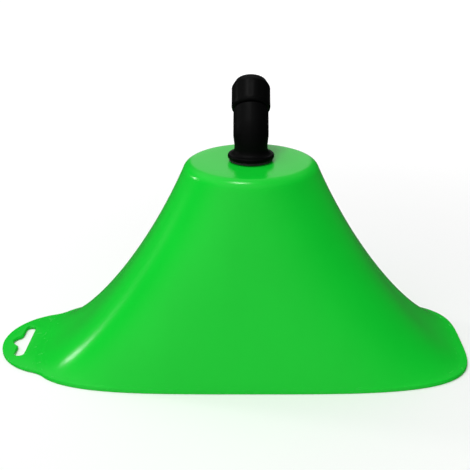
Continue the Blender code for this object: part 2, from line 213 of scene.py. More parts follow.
class Surface(Wiring):
    """A material under construction: a Principled shader and the nodes that feed it."""

    def __init__(self, name: str) -> None:
        """Starts a material with nothing but its shader."""
        self.material = bpy.data.materials.new(name)
        self.material.use_nodes = True
        super().__init__(self.material.node_tree)
        self.shader = self.tree.nodes["Principled BSDF"]
        self.place = self.node("ShaderNodeTexCoord").outputs["Object"]

    def stretched(self, scale: Sequence[float]) -> bpy.types.NodeSocket:
        """Gives the place on the piece, measured from the stem's axis and stretched.

        Args:
            scale: a factor for each axis.

        Returns:
            The stretched vector.
        """
        centred = {"Vector": self.place, "Location": STEM_AXIS}
        made = self.node("ShaderNodeMapping", {"vector_type": "TEXTURE"}, centred)
        factors = {0: made.outputs["Vector"], 1: scale}
        return self.node("ShaderNodeVectorMath", {"operation": "MULTIPLY"}, factors).outputs["Vector"]

    def noise(self, scale: float, detail: float = 2.0, vector: bpy.types.NodeSocket | None = None) -> Number:
        """Adds a noise pattern.

        Args:
            scale: features per metre.
            detail: how many finer octaves it has.
            vector: where it is read, or None for the place on the piece.

        Returns:
            A number from 0 to 1.
        """
        inputs = {"Vector": vector or self.place, "Scale": scale, "Detail": detail}
        return Number(self, self.node("ShaderNodeTexNoise", None, inputs).outputs["Fac"])

    def cells(self, scale: float) -> Number:
        """Adds the distance to the middle of the nearest of many cells.

        Args:
            scale: cells per metre.

        Returns:
            The distance, in cells.
        """
        made = self.node("ShaderNodeTexVoronoi", None, {"Vector": self.place, "Scale": scale})
        return Number(self, made.outputs["Distance"])

    def blend(self, share: Number, first: Input, second: Input) -> bpy.types.NodeSocket:
        """Mixes two colours.

        Args:
            share: how much of the second there is.
            first: the colour at 0.
            second: the colour at 1.

        Returns:
            The mixed colour.
        """
        inputs = {0: share, 6: as_rgba(first), 7: as_rgba(second)}
        return self.node("ShaderNodeMix", {"data_type": "RGBA"}, inputs).outputs[2]

    def mottle(self, share: Number, colour: Colour, darkest: float, brightest: float) -> bpy.types.NodeSocket:
        """Varies a colour's brightness.

        Args:
            share: where it is bright.
            colour: the colour.
            darkest: its factor at 0.
            brightest: its factor at 1.

        Returns:
            The varied colour.
        """
        return self.blend(share, scaled(colour, darkest), scaled(colour, brightest))

    def bump(self, height: Number, depth: float) -> None:
        """Feeds the shader's normal from a height.

        Args:
            height: the height, from 0 to 1.
            depth: what a height of 1 stands for, in metres.
        """
        made = self.node("ShaderNodeBump", None, {"Height": height, "Distance": depth})
        self.feed(self.shader.inputs["Normal"], made.outputs["Normal"])

    def finish(self, **sockets: Input) -> bpy.types.Material:
        """Feeds the shader's own sockets, named with underscores for spaces, and returns the material."""
        for name, value in sockets.items():
            self.feed(self.shader.inputs[name.replace("_", " ").title().replace("Ior", "IOR")], value)
        return self.material


def as_rgba(colour: Input) -> Input:
    """Gives a plain colour its alpha, and leaves a link as it is."""
    return (*colour, 1.0) if isinstance(colour, tuple) else colour


def scaled(colour: Colour, factor: float) -> Colour:
    """Brightens or darkens a colour."""
    return tuple(channel * factor for channel in colour)


# Finishes


@dataclass(frozen=True)
class HoodPlastic:
    """Semi-gloss moulded polyethylene, with faint flow marks from its gate and scuffs along its rim."""

    colour: Colour = (0.004, 0.575, 0.028)
    worn_colour: Colour = (0.08, 0.64, 0.12)
    roughness: float = 0.21
    gloss: float = 0.22
    clouds_per_metre: float = 28.0
    flow_per_metre: float = 60.0
    flow_stretch: tuple[float, float, float] = (1.0, 1.0, 0.12)
    ripples_per_metre: float = 45.0
    grain_per_metre: float = 2600.0
    grain_depth: float = 0.000012
    scratches_per_metre: float = 900.0
    scratch_stretch: tuple[float, float, float] = (0.25, 0.25, 2.5)
    scuff_height: float = 0.006

    def make(self) -> bpy.types.Material:
        """Builds the material."""
        surface = Surface("hood_polyethylene")
        cloud = surface.noise(self.clouds_per_metre, 3.0)
        flow = surface.noise(self.flow_per_metre, 2.0, surface.stretched(self.flow_stretch))
        colour = surface.mottle(cloud * 0.6 + flow * 0.4, self.colour, 0.93, 1.07)
        height = surface.axis_parts(surface.place)[2]
        scratches = surface.noise(self.scratches_per_metre, 4.0, surface.stretched(self.scratch_stretch))
        scuffs = height.ramp(self.scuff_height, 0.0) * scratches.ramp(0.58, 0.70)
        grain = surface.noise(self.grain_per_metre, 3.0)
        ripple = surface.noise(self.ripples_per_metre, 1.0)
        surface.bump(grain * 0.5 + ripple * 6.0 - scuffs * 1.5, self.grain_depth)
        return surface.finish(
            base_color=surface.blend(scuffs * 0.2, colour, self.worn_colour),
            roughness=cloud * 0.06 + grain * 0.05 + scuffs * 0.15 + (self.roughness - 0.06),
            specular_ior_level=self.gloss,
        )


@dataclass(frozen=True)
class BlackNylon:
    """Black moulded nylon with a fine spark-eroded texture."""

    name: str = "black_nylon"
    colour: Colour = (0.0012, 0.0013, 0.0013)
    roughness: float = 0.48
    gloss: float = 0.035
    grain_per_metre: float = 5200.0
    grain_depth: float = 0.000022
    clouds_per_metre: float = 140.0
    dust_per_metre: float = 1500.0

    def make(self) -> bpy.types.Material:
        """Builds the material."""
        surface = Surface(self.name)
        grain = surface.cells(self.grain_per_metre)
        cloud = surface.noise(self.clouds_per_metre, 3.0)
        dust = surface.noise(self.dust_per_metre, 4.0).ramp(0.60, 0.80)
        surface.bump(grain, self.grain_depth)
        return surface.finish(
            base_color=surface.mottle(dust * 0.35, self.colour, 1.0, 4.0),
            roughness=cloud * 0.14 + grain * 0.08 + (self.roughness - 0.10),
            specular_ior_level=self.gloss,
        )


@dataclass(frozen=True)
class SealRubber:
    """Matte moulded rubber with a powdery bloom."""

    colour: Colour = (0.012, 0.012, 0.013)
    roughness: float = 0.72
    bloom_per_metre: float = 700.0
    grain_per_metre: float = 6000.0
    grain_depth: float = 0.00002

    def make(self) -> bpy.types.Material:
        """Builds the material."""
        surface = Surface("seal_rubber")
        bloom = surface.noise(self.bloom_per_metre, 5.0)
        surface.bump(surface.noise(self.grain_per_metre), self.grain_depth)
        return surface.finish(
            base_color=surface.mottle(bloom.ramp(0.45, 0.75), self.colour, 1.0, 3.2),
            roughness=bloom * 0.15 + self.roughness,
        )


@dataclass(frozen=True)
class TurnedSteel:
    """Stainless steel, brushed round the stem's axis."""

    name: str = "turned_steel"
    colour: Colour = (0.56, 0.56, 0.57)
    roughness: float = 0.18
    lines_per_metre: float = 9000.0
    line_depth: float = 0.00001
    clouds_per_metre: float = 400.0

    def make(self) -> bpy.types.Material:
        """Builds the material."""
        surface = Surface(self.name)
        across, along, _ = surface.axis_parts(surface.stretched((1.0, 1.0, 1.0)))
        radius = (across * across + along * along) ** 0.5
        ring = surface.node("ShaderNodeCombineXYZ", None, {"X": radius, "Y": 0.0, "Z": 0.0})
        lines = surface.noise(self.lines_per_metre, 3.0, ring.outputs["Vector"])
        cloud = surface.noise(self.clouds_per_metre, 3.0)
        surface.bump(lines, self.line_depth)
        return surface.finish(
            base_color=surface.mottle(cloud, self.colour, 0.88, 1.06),
            roughness=lines * 0.18 + cloud * 0.08 + self.roughness,
            metallic=1.0,
        )


@dataclass(frozen=True)
class PaleNylon:
    """Undyed or coloured engineering plastic for the nozzle's small mouldings."""

    name: str
    colour: Colour
    roughness: float = 0.38
    clouds_per_metre: float = 450.0
    grain_per_metre: float = 7000.0
    grain_depth: float = 0.000012

    def make(self) -> bpy.types.Material:
        """Builds the material."""
        surface = Surface(self.name)
        cloud = surface.noise(self.clouds_per_metre, 3.0)
        grain = surface.noise(self.grain_per_metre)
        surface.bump(grain, self.grain_depth)
        return surface.finish(
            base_color=surface.mottle(cloud, self.colour, 0.9, 1.08),
            roughness=cloud * 0.10 + grain * 0.06 + (self.roughness - 0.08),
            ior=1.48,
        )


@dataclass(frozen=True)
class PaleFloor:
    """Matte white studio floor that glows a little far off and under the hood, and is clear from below."""

    colour: Colour = (0.96, 0.96, 0.96)
    far_glow: float = 0.4
    far_off: tuple[float, float] = (0.12, 0.80)
    glow_under_hood: float = 1.2
    under_hood: tuple[float, float] = (0.044, 0.038)
    speckles_per_metre: float = 500.0

    def make(self) -> bpy.types.Material:
        """Builds the material."""
        surface = Surface("studio_floor")
        speckle = surface.noise(self.speckles_per_metre)
        across, back, _ = surface.axis_parts(surface.place)
        distance = surface.math("SQRT", across * across + back * back)
        beyond = distance.ramp(*self.far_off) * self.far_glow
        glow = beyond + distance.ramp(*self.under_hood) * self.glow_under_hood
        underside = Number(surface, surface.node("ShaderNodeNewGeometry").outputs["Backfacing"])
        return surface.finish(
            base_color=surface.mottle(speckle, self.colour, 0.995, 1.0),
            roughness=0.9,
            specular_ior_level=0.0,
            emission_color=surface.mottle(glow, WHITE, 0.0, 1.0),
            emission_strength=1.0,
            alpha=1.0 - underside,
        )


# Mesh tools


def corner_arc(before: Corner, at: Corner, after: Corner, steps: int) -> Outline:
    """Rounds one corner of an outline.

    Args:
        before: the corner before it, as (radius, height, rounding).
        at: the corner itself.
        after: the corner after it.
        steps: how many segments the arc has.

    Returns:
        The arc's points, or the corner alone where its rounding is 0.
    """
    point = Vector(at[:2])
    if at[2] <= 0.0:
        return [tuple(point)]
    incoming = (Vector(before[:2]) - point).normalized()
    outgoing = (Vector(after[:2]) - point).normalized()
    half = incoming.angle(outgoing) / 2
    reach = at[2] / tan(half)
    centre = point + (incoming + outgoing).normalized() * (at[2] / sin(half))
    start = point + incoming * reach - centre
    sweep = start.angle_signed(point + outgoing * reach - centre)
    turns = [-sweep * step / steps for step in range(steps + 1)]
    return [tuple(centre + Matrix.Rotation(turn, 2) @ start) for turn in turns]


def outline(corners: Sequence[Corner], steps: int = 5, longest: float = 0.0) -> Outline:
    """Makes a closed outline with rounded corners.

    Args:
        corners: each corner's radius, height and rounding.
        steps: segments in each rounded corner.
        longest: the longest straight segment, or 0 for no limit.

    Returns:
        The outline's points, as (radius, height).
    """
    points: Outline = []
    for before, at, after in zip(corners[-1:] + corners[:-1], corners, corners[1:] + corners[:1]):
        points.extend(corner_arc(before, at, after, steps))
    if longest <= 0.0:
        return points
    fine: Outline = []
    for start, end in zip(points, points[1:] + points[:1]):
        run = Vector(end) - Vector(start)
        pieces = max(1, math.ceil(run.length / longest))
        fine.extend(tuple(Vector(start) + run * (piece / pieces)) for piece in range(pieces))
    return fine


def lathe(points: Outline, sides: int = 96, closed: bool = True) -> bmesh.types.BMesh:
    """Spins an outline about +Z.

    Args:
        points: the outline, as (radius, height).
        sides: segments round the axis.
        closed: whether the last point is joined to the first.

    Returns:
        A ring-shaped solid, or a thin sleeve where the outline is open.
    """
    bm = bmesh.new()
    verts = [bm.verts.new((radius, 0.0, height)) for radius, height in points]
    following = verts[1:] + verts[:1] if closed else verts[1:]
    edges = [bm.edges.new(pair) for pair in zip(verts, following)]
    bmesh.ops.spin(
        bm,
        geom=verts + edges,
        axis=(0.0, 0.0, 1.0),
        cent=(0.0, 0.0, 0.0),
        dvec=(0.0, 0.0, 0.0),
        angle=2 * pi,
        steps=sides,
        use_merge=True,
        use_duplicate=False,
    )
    return bm


def block(size: Sequence[float], middle: Sequence[float]) -> bmesh.types.BMesh:
    """Makes a box.

    Args:
        size: its lengths along the axes.
        middle: its middle.

    Returns:
        The box.
    """
    bm = bmesh.new()
    bmesh.ops.create_cube(bm, size=1.0, matrix=Matrix.Translation(middle) @ Matrix.Diagonal((*size, 1.0)))
    return bm


def soften(bm: bmesh.types.BMesh, edges: list[bmesh.types.BMEdge], width: float, segments: int = 4) -> None:
    """Rounds edges.

    Args:
        bm: the solid.
        edges: its edges to round.
        width: how far the rounding reaches.
        segments: how many facets it has.
    """
    bmesh.ops.bevel(
        bm,
        geom=edges,
        offset=width,
        affect="EDGES",
        segments=segments,
        profile=0.5,
        material=-1,
        clamp_overlap=True,
    )


class RingLoft:
    """A surface made by extruding one ring of vertices from place to place."""

    def __init__(self, points: Sequence[Vector]) -> None:
        """Starts with a ring through the points."""
        self.bm = bmesh.new()
        made = bmesh.ops.create_circle(self.bm, segments=len(points), radius=1.0)
        self.rings = [made["verts"]]
        self.place(points)

    @classmethod
    def through(cls, rings: Sequence[Sequence[Vector]]) -> "RingLoft":
        """Extrudes a surface through every ring in turn."""
        loft = cls(rings[0])
        for ring in rings[1:]:
            loft.extrude(ring)
        return loft

    def place(self, points: Sequence[Vector]) -> None:
        """Puts the last ring's vertices on the points."""
        for vert, point in zip(self.rings[-1], points):
            vert.co = point

    def edges(self, number: int) -> list[bmesh.types.BMEdge]:
        """Lists the edges along one ring."""
        ring = self.rings[number]
        return [self.bm.edges.get(pair) for pair in zip(ring, ring[1:] + ring[:1])]

    def extrude(self, points: Sequence[Vector]) -> None:
        """Extrudes the last ring on to new points.

        Args:
            points: the next ring, in the same order.
        """
        made = bmesh.ops.extrude_edge_only(self.bm, edges=self.edges(-1))
        new = {item for item in made["geom"] if isinstance(item, bmesh.types.BMVert)}
        reached = [[edge.other_vert(vert) for edge in vert.link_edges] for vert in self.rings[-1]]
        self.rings.append([next(other for other in others if other in new) for others in reached])
        self.place(points)

    def join(self) -> bmesh.types.BMesh:
        """Extrudes the last ring on to the first, merges the two and returns the closed skin."""
        self.extrude([vert.co.copy() for vert in self.rings[0]])
        bmesh.ops.weld_verts(self.bm, targetmap=dict(zip(self.rings.pop(), self.rings[0])))
        return self.bm

    def cap(self) -> bmesh.types.BMesh:
        """Closes the first and the last ring with a face each and returns the closed skin."""
        self.bm.faces.new(self.rings[0])
        self.bm.faces.new(self.rings[-1])
        return self.bm


class ThreadSide(Enum):
    """Whether a thread stands out from a stem or in from a bore."""

    STEM = 1
    BORE = -1


@dataclass(frozen=True)
class Thread:
    """A right-hand screw thread on a smooth turned wall.

    A stem's thread and a bore's of the same pitch lie half a pitch apart, so they mesh.
    """

    side: ThreadSide
    wall: float
    height: float
    low: float
    high: float
    pitch: float = THREAD_PITCH
    flank: float = 0.8

    def press(self, bm: bmesh.types.BMesh) -> None:
        """Moves the wall's vertices on to the thread.

        Args:
            bm: a solid turned about +Z, whose wall has several rings of vertices in each pitch.
        """
        phase = 0.0 if self.side is ThreadSide.STEM else pi
        for vert in bm.verts:
            plan = vert.co.xy
            if abs(plan.length - self.wall) > MERGE or not self.low < vert.co.z < self.high:
                continue
            fade = min((vert.co.z - self.low) / self.pitch, (self.high - vert.co.z) / self.pitch, 1.0)
            turn = 2 * pi * vert.co.z / self.pitch - math.atan2(plan.y, plan.x) + phase
            crest = min(max(0.5 + self.flank * cos(turn), 0.0), 1.0)
            vert.co.xy = plan * (1 + self.side.value * self.height * crest * fade / self.wall)


def smooth_step(share: float) -> float:
    """Rises smoothly from 0 at 0 to 1 at 1."""
    held = min(max(share, 0.0), 1.0)
    return (3 - 2 * held) * held**2


@dataclass(frozen=True)
class Flutes:
    """Grip flutes round a turned solid's outer wall."""

    radius: float
    count: int
    depth: float
    low: float
    high: float
    run_out: float = 0.0012
    edge_reach: float = 2.5
    narrowness: float = 1.5

    def press(self, bm: bmesh.types.BMesh) -> None:
        """Presses the flutes in.

        Args:
            bm: the solid, turned about +Z.
        """
        run_out = min(self.run_out, (self.high - self.low) / 4)
        for vert in bm.verts:
            plan = vert.co.xy
            if plan.length < self.radius - self.edge_reach * self.depth:
                continue
            rise = smooth_step((vert.co.z - self.low) / run_out)
            fall = smooth_step((self.high - vert.co.z) / run_out)
            wave = 0.5 + 0.5 * cos(self.count * math.atan2(plan.y, plan.x))
            press = self.depth * rise * fall * wave**self.narrowness
            vert.co.xy = plan * (1 - press / plan.length)


class Maker:
    """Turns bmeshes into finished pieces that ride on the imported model."""

    @staticmethod
    def raw(name: str, bm: bmesh.types.BMesh, place: Matrix | None = None) -> bpy.types.Object:
        """Makes an object at the origin from a bmesh.

        Args:
            name: the object's name.
            bm: its mesh, which is freed.
            place: where its own axis lies, or None.

        Returns:
            The object.
        """
        bmesh.ops.remove_doubles(bm, verts=bm.verts, dist=MERGE)
        bmesh.ops.recalc_face_normals(bm, faces=bm.faces)
        if place is not None:
            bmesh.ops.transform(bm, matrix=place, verts=bm.verts)
        mesh = bpy.data.meshes.new(name)
        bm.to_mesh(mesh)
        bm.free()
        made = bpy.data.objects.new(name, mesh)
        bpy.context.scene.collection.objects.link(made)
        return made

    @staticmethod
    def combine(target: bpy.types.Object, tool: bpy.types.Object, operation: str) -> None:
        """Applies a Boolean to the target's mesh and removes the tool.

        Args:
            target: the piece that stays.
            tool: the solid that is joined or cut.
            operation: UNION, DIFFERENCE or INTERSECT.
        """
        boolean = target.modifiers.new(operation, "BOOLEAN")
        boolean.operation = operation
        boolean.object = tool
        graph = bpy.context.evaluated_depsgraph_get()
        graph.update()
        mesh = bpy.data.meshes.new_from_object(target.evaluated_get(graph))
        target.modifiers.clear()
        old, target.data = target.data, mesh
        bpy.data.meshes.remove(old)
        bpy.data.objects.remove(tool)

    @staticmethod
    def deliver(
        piece: bpy.types.Object,
        node: str,
        body: str,
        slot: str,
        material: bpy.types.Material,
        smooth: float = 35.0,
    ) -> None:
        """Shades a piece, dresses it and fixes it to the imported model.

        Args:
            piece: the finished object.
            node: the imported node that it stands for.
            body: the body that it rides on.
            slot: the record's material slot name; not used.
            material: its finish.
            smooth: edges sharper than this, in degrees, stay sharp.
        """
        piece.data.materials.clear()
        piece.data.materials.append(material)
        piece.data.shade_smooth()
        piece.data.set_sharp_from_angle(angle=math.radians(smooth))
        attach(piece, body)
        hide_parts(node)
        log.info("%s: %d faces, rides on %s", piece.name, len(piece.data.polygons), body)


def larger(first: float, second: float, blend: float) -> float:
    """Gives the larger of two numbers, with a smooth passage where they are close."""
    share = min(max(0.5 + 0.5 * (first - second) / blend, 0.0), 1.0)
    return second + (first - second) * share + blend * share * (1 - share)


def bend(bm: bmesh.types.BMesh, start: float, radius: float, angle: float) -> None:
    """Bends a solid that stands on +Z towards +Y.

    Args:
        bm: the straight solid.
        start: the height at which the bend begins.
        radius: the bend's radius, at the solid's axis.
        angle: how far it turns.
    """
    for vert in bm.verts:
        beyond = vert.co.z - start
        if beyond <= 0.0:
            continue
        turn = min(beyond / radius, angle)
        rest = beyond - turn * radius
        arm = radius - vert.co.y
        vert.co.y = radius - arm * cos(turn) + rest * sin(turn)
        vert.co.z = start + arm * sin(turn) + rest * cos(turn)


# The hood


@dataclass
class HoodShell:
    """The green hood: a flat round top, a flared skirt with a rolled rim, and a tab to hang it by."""

    wall: float = 0.0016
    top_radius: float = 0.0274
    fillet: float = 0.0055
    draft: float = math.radians(17.0)
    rim_height: float = 0.0020
    rim_width: float = 0.0022
    rim_rounding: float = 0.0004
    flare_share: float = 0.46
    flare_power: float = 1.86
    side_power: float = 0.95
    rim_squareness: float = 3.74
    squareness_power: float = 1.35
    last_level: float = 0.9935
    hole_radius: float = 0.0069
    tab_radius: float = 0.0312
    tab_thickness: float = 0.0020
    tab_low: float = 0.0002
    tab_fillet: float = 0.004
    tab_sweep: float = math.radians(108.0)
    tab_steps: int = 120
    reach_error: float = 1e-9
    slot_length: float = 0.031
    slot_width: float = 0.0046
    slot_eye_radius: float = 0.0041
    slot_from_tip: float = 0.0132
    slot_fillet: float = 0.0040
    slot_least_fillet: float = 0.02
    flat_shares: tuple[float, ...] = (0.0, 0.1, 0.4, 0.7)
    sides: int = 224
    fillet_rings: int = 8
    flare_rings: int = 44

    def __post_init__(self) -> None:
        """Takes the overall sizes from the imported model."""
        self.half_length = HOOD_HIGH.x - STEM_AXIS.x
        self.half_depth = HOOD_HIGH.y
        self.height = HOOD_HIGH.z
        self.turns = [2 * pi * step / self.sides for step in range(self.sides)]

    def section(self, level: float) -> tuple[float, float, float, float]:
        """Gives the flare's outline at a level.

        Args:
            level: 0 under the top's fillet, 1 at the rim.

        Returns:
            The outline's half length, half depth, squareness and height.
        """
        fillet_turn = pi / 2 - self.draft
        shoulder = self.top_radius + self.fillet * sin(fillet_turn)
        shoulder_height = self.height - self.fillet * (1 - cos(fillet_turn))
        late = 1 - (1 - level**self.flare_power) ** (1 / self.flare_power)
        spread = (1 - self.flare_share) * level + self.flare_share * late
        half_length = shoulder + (self.half_length - shoulder) * spread
        half_depth = shoulder + (self.half_depth - shoulder) * level**self.side_power
        squareness = 2 + (self.rim_squareness - 2) * level**self.squareness_power
        height = self.rim_height + (shoulder_height - self.rim_height) * (1 - level)
        return half_length, half_depth, squareness, height

    @staticmethod
    def around(
        half_length: float, half_depth: float, squareness: float, height: float, turn: float
    ) -> Vector:
        """Gives a point of a squared ellipse about the stem's axis.

        Args:
            half_length: its reach along X.
            half_depth: its reach along Y.
            squareness: its exponent; 2 is an ellipse.
            height: the point's height.
            turn: the point's angle.

        Returns:
            The point.
        """
        across, along = cos(turn), sin(turn)
        size = (abs(across) ** squareness + abs(along) ** squareness) ** (1 / squareness)
        return Vector((half_length * across / size, half_depth * along / size, height))

    def flare(self, level: float, turn: float) -> Vector:
        """Gives a point of the skirt's outer surface."""
        return self.around(*self.section(level), turn)

    def flare_inside(self, level: float, turn: float) -> Vector:
        """Gives the point of the skirt's inner surface under a point of the outer one.

        Args:
            level: how far down the skirt it lies.
            turn: its angle.

        Returns:
            The point, kept within the rim's inner face.
        """
        step = 1e-4
        down = self.flare(min(level + step, 1.0), turn) - self.flare(max(level - step, 0.0), turn)
        sideways = self.flare(level, turn + step) - self.flare(level, turn - step)
        point = self.flare(level, turn) - self.wall * sideways.cross(-down).normalized()
        across = (abs(point.x) / (self.half_length - self.rim_width)) ** self.rim_squareness
        along = (abs(point.y) / (self.half_depth - self.rim_width)) ** self.rim_squareness
        point.xy /= max((across + along) ** (1 / self.rim_squareness), 1.0)
        return point

    def circle(self, radius: float, height: float) -> list[Vector]:
        """Gives a ring of points about the stem's axis."""
        return [Vector((radius * cos(turn), radius * sin(turn), height)) for turn in self.turns]

    def rim(self, inset: float, height: float) -> list[Vector]:
        """Gives a ring of points along the rim's outline."""
        sizes = (self.half_length - inset, self.half_depth - inset, self.rim_squareness, height)
        return [self.around(*sizes, turn) for turn in self.turns]

    def top_rings(self, fillet: float, height: float) -> list[list[Vector]]:
        """Gives rings from the hole outwards over the flat top and round its fillet.

        Args:
            fillet: the fillet's radius on this side of the wall.
            height: the height of the flat on this side of the wall.

        Returns:
            The rings, from the inside out.
        """
        width = self.top_radius - self.hole_radius
        rings = [self.circle(self.hole_radius + width * share, height) for share in self.flat_shares]
        for step in range(self.fillet_rings):
            turn = (pi / 2 - self.draft) * step / self.fillet_rings
            rings.append(self.circle(self.top_radius + fillet * sin(turn), height - fillet * (1 - cos(turn))))
        return rings

    def skin(self) -> bmesh.types.BMesh:
        """Extrudes the shell down its outside, under its rim and up its inside."""
        quarter = pi / 2 / (self.flare_rings - 1)
        levels = [sin(quarter * step) * self.last_level for step in range(self.flare_rings)]
        outer = self.top_rings(self.fillet, self.height)
        outer += [[self.flare(level, turn) for turn in self.turns] for level in levels]
        rim = [self.rim(0.0, self.rim_height), self.rim(0.0, 0.0), self.rim(self.rim_width, 0.0)]
        inner = self.top_rings(self.fillet - self.wall, self.height - self.wall)
        inner += [[self.flare_inside(level, turn) for turn in self.turns] for level in levels]
        loft = RingLoft.through(outer + rim + inner[::-1])
        bm = loft.join()
        first = len(outer)
        rounded = [edge for number in (0, first, first + 1, first + 2, -1) for edge in loft.edges(number)]
        soften(bm, rounded, self.rim_rounding, segments=3)
        return bm

    def rim_reach(self, centre: float, direction: Vector) -> float:
        """Finds how far the rim's outline is from a point of the hood's long axis.

        Args:
            centre: the point's place along X, from the stem's axis.
            direction: which way to look.

        Returns:
            The distance.
        """
        low, high = 0.0, 2 * self.half_length
        while high - low > self.reach_error:
            middle = (low + high) / 2
            across = abs(centre + middle * direction.x) / self.half_length
            along = abs(middle * direction.y) / self.half_depth
            if across**self.rim_squareness + along**self.rim_squareness < 1.0:
                low = middle
            else:
                high = middle
        return low

    def tab(self) -> bmesh.types.BMesh:
        """Sweeps the hanging tab's section round its tip, from one side of the rim to the other."""
        tip = HOOD_LOW.x - STEM_AXIS.x
        centre = tip + self.tab_radius
        rings = []
        for step in range(self.tab_steps + 1):
            turn = pi + self.tab_sweep * (2 * step / self.tab_steps - 1)
            direction = Vector((cos(turn), sin(turn), 0.0))
            reach = self.rim_reach(centre, direction)
            edge = larger(self.tab_radius, reach - self.wall / 4, self.tab_fillet)
            root = reach - self.rim_width / 2
            corners = [
                (root, self.tab_low, 0.0),
                (edge, self.tab_low, self.rim_rounding),
                (edge, self.tab_thickness, self.rim_rounding),
                (root, self.tab_thickness, 0.0),
            ]
            section = outline(corners, 3)
            rings.append([Vector((centre, 0.0, height)) + direction * radius for radius, height in section])
        return RingLoft.through(rings).cap()

    def slot_ring(self, height: float, grow: float) -> list[Vector]:
        """Gives a ring of points along the hanging slot's outline: a bar with a round eye.

        Args:
            height: the ring's height.
            grow: how far it lies outside the outline.

        Returns:
            The ring's points.
        """
        middle = HOOD_LOW.x - STEM_AXIS.x + self.slot_from_tip - self.slot_width / 2
        half_width = self.slot_width / 2 + grow
        straight = (self.slot_length - self.slot_width) / 2
        eye = self.slot_width / 2 - self.slot_eye_radius
        points = []
        for turn in self.turns:
            across, along = cos(turn), sin(turn)
            to_side = half_width / max(abs(across), MERGE)
            if to_side * abs(along) > straight:
                to_side = straight * abs(along) + (half_width**2 - (straight * across) ** 2) ** 0.5
            to_eye = eye * across + ((self.slot_eye_radius + grow) ** 2 - (eye * along) ** 2) ** 0.5
            fillet = self.slot_fillet * min(max(0.5 - across, self.slot_least_fillet), 1.0)
            reach = larger(to_side, to_eye, fillet)
            points.append(Vector((middle + reach * across, reach * along, height)))
        return points

    def slot(self) -> bmesh.types.BMesh:
        """Makes the hanging slot's cutter, which flares above and below the tab's middle."""
        levels = ((-1.0, 1.0), (0.35, 0.0), (0.65, 0.0), (2.0, 1.0))
        thickness = self.tab_thickness
        rings = [self.slot_ring(thickness * height, thickness * grow) for height, grow in levels]
        return RingLoft.through(rings).cap()

    def build(self, finish: HoodPlastic) -> None:
        """Makes the shell with its tab and slot.

        Args:
            finish: the hood's plastic.
        """
        place = Matrix.Translation((STEM_AXIS.x, 0.0, 0.0))
        shell = Maker.raw("hood_moulding", self.skin(), place)
        Maker.combine(shell, Maker.raw("tab_plate", self.tab(), place), "UNION")
        Maker.combine(shell, Maker.raw("slot_cutter", self.slot(), place), "DIFFERENCE")
        Maker.deliver(shell, "hood_shell", "hood", "hood_green", finish.make(), smooth=28.0)


# The elbow, and what is fixed to it


